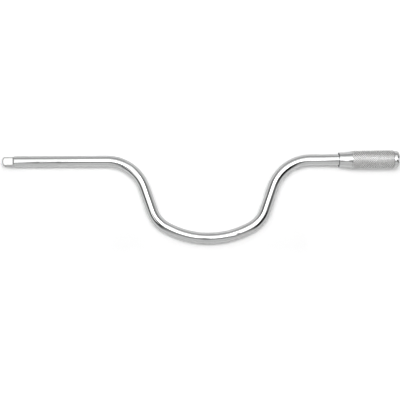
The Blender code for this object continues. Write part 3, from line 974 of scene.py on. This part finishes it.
cap_length = CAP_END - CAP_SEAT
cap_outline = [
    (cap_length - 0.00002, 0),
    (cap_length, CAP_FACE_RADIUS),
    *arc((cap_length - CAP_ROUND, CAP_RADIUS - CAP_ROUND), CAP_ROUND, 0, 90, 24),
    (0.0003, CAP_RADIUS),
    (EDGE_BREAK, CAP_RADIUS - 0.00007),
    (0, CAP_RADIUS - 0.0003),
    (0, PLUG_RADIUS + EDGE_BREAK),
    (-EDGE_BREAK, PLUG_RADIUS),
    (-CAP_PLUG + 0.0006, PLUG_RADIUS),
    (-CAP_PLUG + 0.00025, PLUG_RADIUS - 0.0003),
    (-CAP_PLUG + 0.00025, PLUG_BORE + 0.0002),
    (-CAP_PLUG + 0.00045, PLUG_BORE),
    (0.0, PLUG_BORE),
    (0.0012, PLUG_BORE - 0.0008),
    (0.0018, 0),
]
cap_chrome = plated("Polished chrome cap", 0.085)
cap = show(lathe("cap", cap_outline, 128, at=(CAP_SEAT, 0, 0)), "grip_cap", cap_chrome)
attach(cap, "grip")
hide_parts("end_cap")


# Inside the grip: two flanged bushes of sintered bronze turn with it on the spindle. A washer and a circlip,
# which stay with the bar, hold them on.
BUSH_BORE = 0.0043
BUSH_RADIUS = 0.0054
BUSH_TOTAL = 0.0102
FLANGE = 0.0012
FRONT_FLANGE_RADIUS = 0.0060
REAR_FLANGE_RADIUS = 0.0070
FRONT_FLANGE_FACE = MOUTH + 0.0128
REAR_FLANGE_FACE = MOUTH + 0.0491
WASHER_FACE = MOUTH + 0.0494
WASHER_RADIUS = 0.0067
WASHER_THICKNESS = 0.0010
RING_MIDDLE = MOUTH + 0.0512
RING_INNER = 0.0035
RING_OUTER = 0.0052
RING_EAR = 0.0061
RING_THICKNESS = 0.0010
RING_OPENING = 16.0
EAR_END = 40.0
EAR_HOLE = 0.00035
EAR_CORNER = 2.5
RING_STEPS = 72
RING_EDGE = 0.00006


def flanged_bush(name, face, inward, flange_radius):
    """A bush with broken edges, from its flange's outer face inward."""
    outline = [
        (1.5 * EDGE_BREAK, BUSH_BORE),
        (0, BUSH_BORE + 1.5 * EDGE_BREAK),
        (0, flange_radius - 2 * EDGE_BREAK),
        (2 * EDGE_BREAK, flange_radius),
        (FLANGE - EDGE_BREAK, flange_radius),
        (FLANGE, flange_radius - EDGE_BREAK),
        (FLANGE, BUSH_RADIUS + EDGE_BREAK),
        (FLANGE + EDGE_BREAK, BUSH_RADIUS),
        (BUSH_TOTAL - 4 * EDGE_BREAK, BUSH_RADIUS),
        (BUSH_TOTAL, BUSH_RADIUS - 2 * EDGE_BREAK),
        (BUSH_TOTAL, BUSH_BORE + 2 * EDGE_BREAK),
        (BUSH_TOTAL - 2 * EDGE_BREAK, BUSH_BORE),
    ]
    return lathe(name, [(inward * along, radius) for along, radius in outline], 96, at=(face, 0, 0))


def polar(radius, degrees):
    """A point of the circlip's plane."""
    return radius * math.cos(math.radians(degrees)), radius * math.sin(math.radians(degrees))


def circlip_mesh():
    """An open ring with a drilled ear on each side of its opening, pressed from sheet, with edges tumbled."""
    sweep = [RING_OPENING + (360 - 2 * RING_OPENING) * i / RING_STEPS for i in range(RING_STEPS + 1)]
    rim = [EAR_END + (360 - 2 * EAR_END) * i / RING_STEPS for i in range(RING_STEPS + 1)]
    outline = [polar(RING_INNER, angle) for angle in sweep]
    for side in (-1, 1):
        ear = [
            polar(RING_EAR - 0.0002, side * RING_OPENING),
            polar(RING_EAR, side * (RING_OPENING + EAR_CORNER)),
            polar(RING_EAR, side * (EAR_END - 3 * EAR_CORNER)),
            polar(RING_EAR - 0.00015, side * (EAR_END - EAR_CORNER)),
            polar(RING_OUTER + 0.0001, side * EAR_END),
        ]
        outline += ear if side < 0 else [polar(RING_OUTER, angle) for angle in reversed(rim)] + ear[::-1]
    curve = bpy.data.curves.new("circlip", "CURVE")
    curve.dimensions = "2D"
    curve.fill_mode = "BOTH"
    curve.bevel_depth = RING_EDGE
    curve.bevel_resolution = 1
    curve.offset = -curve.bevel_depth
    curve.extrude = RING_THICKNESS / 2 - curve.bevel_depth
    loops = [outline]
    for side in (-1, 1):
        middle = polar((RING_INNER + RING_EAR) / 2, side * (RING_OPENING + EAR_END) / 2)
        hole = [polar(EAR_HOLE, 15 * i) for i in range(24)]
        loops.append([(middle[0] + x, middle[1] + y) for x, y in hole])
    for points in loops:
        spline = curve.splines.new("POLY")
        spline.points.add(len(points) - 1)
        spline.use_cyclic_u = True
        for point, (x, y) in zip(spline.points, points):
            point.co = (x, y, 0, 1)
    carrier = add_object("circlip", curve)
    flat = evaluated_mesh(carrier)
    bpy.data.objects.remove(carrier, do_unlink=True)
    shape = bmesh.new()
    shape.from_mesh(flat)
    bmesh.ops.remove_doubles(shape, verts=shape.verts, dist=0.000002)
    for vert in shape.verts:
        across, side, thick = vert.co
        vert.co = (RING_MIDDLE + thick, side, -across)
    bmesh.ops.recalc_face_normals(shape, faces=shape.faces)
    shape.to_mesh(flat)
    shape.free()
    return flat


washer_outline = [
    (0.0001, BUSH_BORE),
    (0, BUSH_BORE + 0.0001),
    (0, WASHER_RADIUS - 0.00015),
    (0.00006, WASHER_RADIUS - 0.00004),
    (0.00018, WASHER_RADIUS),
    (WASHER_THICKNESS - 0.00004, WASHER_RADIUS),
    (WASHER_THICKNESS, WASHER_RADIUS - 0.00004),
    (WASHER_THICKNESS, BUSH_BORE + 0.00004),
    (WASHER_THICKNESS - 0.00004, BUSH_BORE),
]
# Each finish: its colour, its grain's colour, its roughness, and how fine and how deep its grain is
bronze = ((0.50, 0.33, 0.16, 1), (0.30, 0.19, 0.10, 1), 0.36, 4000, 1e-5)
zinc = ((0.52, 0.53, 0.56, 1), (0.40, 0.42, 0.44, 1), 0.30, 1800, 4e-6)
black = ((0.05, 0.05, 0.055, 1), (0.02, 0.02, 0.022, 1), 0.34, 2500, 4e-6)
front_mesh = flanged_bush("front_bush", FRONT_FLANGE_FACE, 1, FRONT_FLANGE_RADIUS)
rear_mesh = flanged_bush("rear_bush", REAR_FLANGE_FACE, -1, REAR_FLANGE_RADIUS)
washer_mesh = lathe("washer", washer_outline, 96, at=(WASHER_FACE, 0, 0))
for mesh, name, finish_name, finish, body, node_name, slot_name in (
    (front_mesh, "front_bronze_bush", "Sintered bronze front", bronze, "grip", "front_bush", "bush_bronze"),
    (rear_mesh, "rear_bronze_bush", "Sintered bronze rear", bronze, "grip", "rear_bush", "bush_bronze"),
    (washer_mesh, "thrust_washer", "Zinc washer", zinc, "brace", "retaining_washer", "washer_zinc"),
    (circlip_mesh(), "circlip", "Oiled black ring", black, "brace", "retaining_ring", "ring_black"),
):
    piece = show(mesh, name, plain_finish(finish_name, *finish))
    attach(piece, body)
    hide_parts(node_name)


# Studio: a white table and room, and the photograph's camera. A large soft light hangs above and fades
# towards its far edge, with a brighter lamp over the brace. Smaller panels hang to its right and in front,
# and an upright one stands beyond the grip. The dark room between draws dark lines along the chrome.
# Each panel: its left and right, its near and far edge, its height and its brightness
SOFTBOXES = {
    "softbox": ((-0.44, 0.56), (-0.16, 1.00), 0.80, 1.95),
    "softbox lamp": ((-0.06, 0.49), (0.04, 0.29), 0.79, 6.2),
    "right softbox": ((0.56, 0.66), (-0.06, 1.00), 0.80, 1.95),
    "side softbox": ((-0.44, -0.18), (-0.44, -0.16), 0.80, 1.95),
    "front softbox": ((0.31, 0.49), (-0.29, -0.16), 0.80, 1.95),
}
FADE_START = 0.34
FADE_END_SHARE = 0.30
# The upright light: its place along the brace, near and far edge, bottom and top, and brightness
END_LIGHT = (0.62, (-0.10, 0.07), (0.02, 0.62), 1.0)
CAMERA_PLACE = (0.2113, -0.0423, 0.806)
CAMERA_ROLL = math.radians(-0.35)
CAMERA_LENS = 67.5

lens = bpy.data.cameras.new("camera")
lens.lens = CAMERA_LENS
lens.clip_start = 0.01
camera = add_object("camera", lens)
camera.location = CAMERA_PLACE
camera.rotation_euler = (0, 0, CAMERA_ROLL)
bpy.context.scene.camera = camera
bpy.context.scene.view_settings.view_transform = "Standard"


def soft_light(name, width, depth, brightness, place, turn=(0, 0, 0)):
    """A rectangular soft light that reflections and surfaces see, but the camera doesn't."""
    lamp = bpy.data.lights.new(name, "AREA")
    lamp.shape = "RECTANGLE"
    lamp.size = width
    lamp.size_y = depth
    lamp.energy = brightness * math.pi * width * depth
    softbox = add_object(name, lamp)
    softbox.location = place
    softbox.rotation_euler = turn
    softbox.visible_camera = False
    return lamp


for light_name, ((left, right), (near, far), height, brightness) in SOFTBOXES.items():
    middle = ((left + right) / 2, (near + far) / 2, height)
    lamp = soft_light(light_name, right - left, far - near, brightness, middle)
    if light_name == "softbox":
        lamp.use_nodes = True
        fading = lamp.node_tree
        panel = parts_of(fading.nodes.new("ShaderNodeNewGeometry").outputs["Parametric"])
        faded = ramp(panel[1], FADE_START, 1.0) * (FADE_END_SHARE - 1.0) + 1.0
        feed(fading.nodes["Emission"].inputs["Strength"], faded)
end_x, (end_near, end_far), (end_low, end_high), brightness = END_LIGHT
middle = (end_x, (end_near + end_far) / 2, (end_low + end_high) / 2)
soft_light("end light", end_high - end_low, end_far - end_near, brightness, middle, (0, math.radians(90), 0))


def ray_kinds(tree):
    """1 for what the camera sees, straight or through something, and 1 for what is reflected."""
    path = tree.nodes.new("ShaderNodeLightPath").outputs
    return Signal(path["Is Camera Ray"]) + path["Is Transmission Ray"], Signal(path["Is Glossy Ray"])


# The table touches the brace where it rests: under the square's shoulder, the front of the knurl and the bow
SHOULDER_REST = 0.0142
BOW_SIDE = -0.02
rest_shoulder = (SHOULDER_REST, -BAR_RADIUS)
rest_knurl = (BARREL_FRONT + BARREL_CHAMFER, -BARREL_FRONT_RADIUS)
table_slope = (rest_knurl[1] - rest_shoulder[1]) / (rest_knurl[0] - rest_shoulder[0])


def height_on_axis(x):
    """The table's height under the drive's axis."""
    return rest_shoulder[1] + table_slope * (x - rest_shoulder[0])


bow_verts = [vert.co for vert in crank_bar.data.vertices if vert.co.y < BOW_SIDE]
table_tilt = max((place.z - height_on_axis(place.x)) / place.y for place in bow_verts)

TABLE_EDGES = (-3.0, 3.4, 3.0)
TABLE_WHITE = (0.93, 0.93, 0.93, 1)
TABLE_GLOW = 0.12
TABLE_REFLECTED = 0.12
# The table is lit less away from the arms and the bow, so it glows more to the camera there and stays one
# white. Each box round them: its middle and half size, along and across the brace
LIT_BOXES = (((0.2125, 0.2125), (-0.004, 0.020)), ((0.2205, 0.105), (-0.045, 0.050)))
# Each rise of the glow: the distances from the boxes where it starts and ends, and what it adds
GLOW_RISES = ((0.0, 0.14, 0.6), (0.3, 1.5, 0.3))

table_mesh = bpy.data.meshes.new("table")
left, right, reach = TABLE_EDGES
corners = [(left, -reach), (right, -reach), (right, reach), (left, reach)]
corners = [(x, y, height_on_axis(x) + table_tilt * y) for x, y in corners]
table_mesh.from_pydata(corners, [], [(0, 1, 2, 3)])
table = add_object("table", table_mesh)
table_white = bpy.data.materials.new("White table")
table_white.use_nodes = True
table_tree = table_white.node_tree
table_inputs = table_tree.nodes["Principled BSDF"].inputs
table_inputs["Base Color"].default_value = TABLE_WHITE
table_inputs["Roughness"].default_value = 0.9
table_inputs["Specular IOR Level"].default_value = 0.0
table_place = parts_of(object_place(table_tree))
distances = []
for box in LIT_BOXES:
    beyond = []
    for place, (middle, half) in zip(table_place, box):
        aside = maths("ABSOLUTE", place - middle) - half
        beyond.append(maths("POWER", maths("MAXIMUM", aside, 0.0), 2.0))
    distances.append(maths("SQRT", beyond[0] + beyond[1]))
away = maths("MINIMUM", *distances)
near_rise, far_rise = [ramp(away, start, end) * more for start, end, more in GLOW_RISES]
glow = near_rise + far_rise + TABLE_GLOW
seen, mirrored = ray_kinds(table_tree)
feed(table_inputs["Emission Strength"], seen * glow + mirrored * TABLE_REFLECTED)
table_mesh.materials.append(table_white)

# The room: white where it is seen straight, pale walls low down, and dark overhead round the softboxes, but
# for the far side and a wedge of white card in front. Slopes are how far a direction leans for its rise
DARK_RISE = (0.36, 0.44)
DARK_FAR_EDGE = (1.15, 0.95)
CARD_EDGE = 0.49
CARD_WEDGE = 1.1
CARD_BLEND = (-0.05, 0.05)
# It is darkest to the right of the front and to the left, where the room is open
DARK_SHARE = 0.55
OPEN_SHARE = 0.43
OPEN_WAY = (0.819, 0.574)
OPEN_SIDE = (0.900, 0.980)
LEFT_SIDE = (-0.50, -0.72)
WALL_WHITE = 0.60
FRONT_WALL = (0.2, -0.2)
FRONT_WALL_MORE = 0.28
FILL_LIGHT = 0.04

world = bpy.data.worlds.new("studio")
bpy.context.scene.world = world
world.use_nodes = True
room = world.node_tree
backdrop = room.nodes["Background"].inputs
across, ahead, above = parts_of(room.nodes.new("ShaderNodeTexCoord").outputs["Generated"])
lift = maths("MAXIMUM", above, 0.01)
slope_ahead = ahead / lift
off_card = slope_ahead + (maths("ABSOLUTE", across / lift) * CARD_WEDGE + CARD_EDGE)
dark = ramp(above, *DARK_RISE) * ramp(off_card, *CARD_BLEND) * ramp(slope_ahead, *DARK_FAR_EDGE)
level = maths("SQRT", 1.0001 - above * above)
open_side = ramp((across * OPEN_WAY[0] - ahead * OPEN_WAY[1]) / level, *OPEN_SIDE)
left_side = ramp(across / level, *LEFT_SIDE)
dark = dark * (left_side * OPEN_SHARE + (open_side * OPEN_SHARE + DARK_SHARE))
wall = ramp(ahead, *FRONT_WALL) * FRONT_WALL_MORE + WALL_WHITE
seen, mirrored = ray_kinds(room)
other = 1.0 - maths("MINIMUM", seen + mirrored, 1.0)
feed(backdrop["Strength"], seen + mirrored * (wall * (1.0 - dark)) + other * FILL_LIGHT)
backdrop["Color"].default_value = (1, 1, 1, 1)
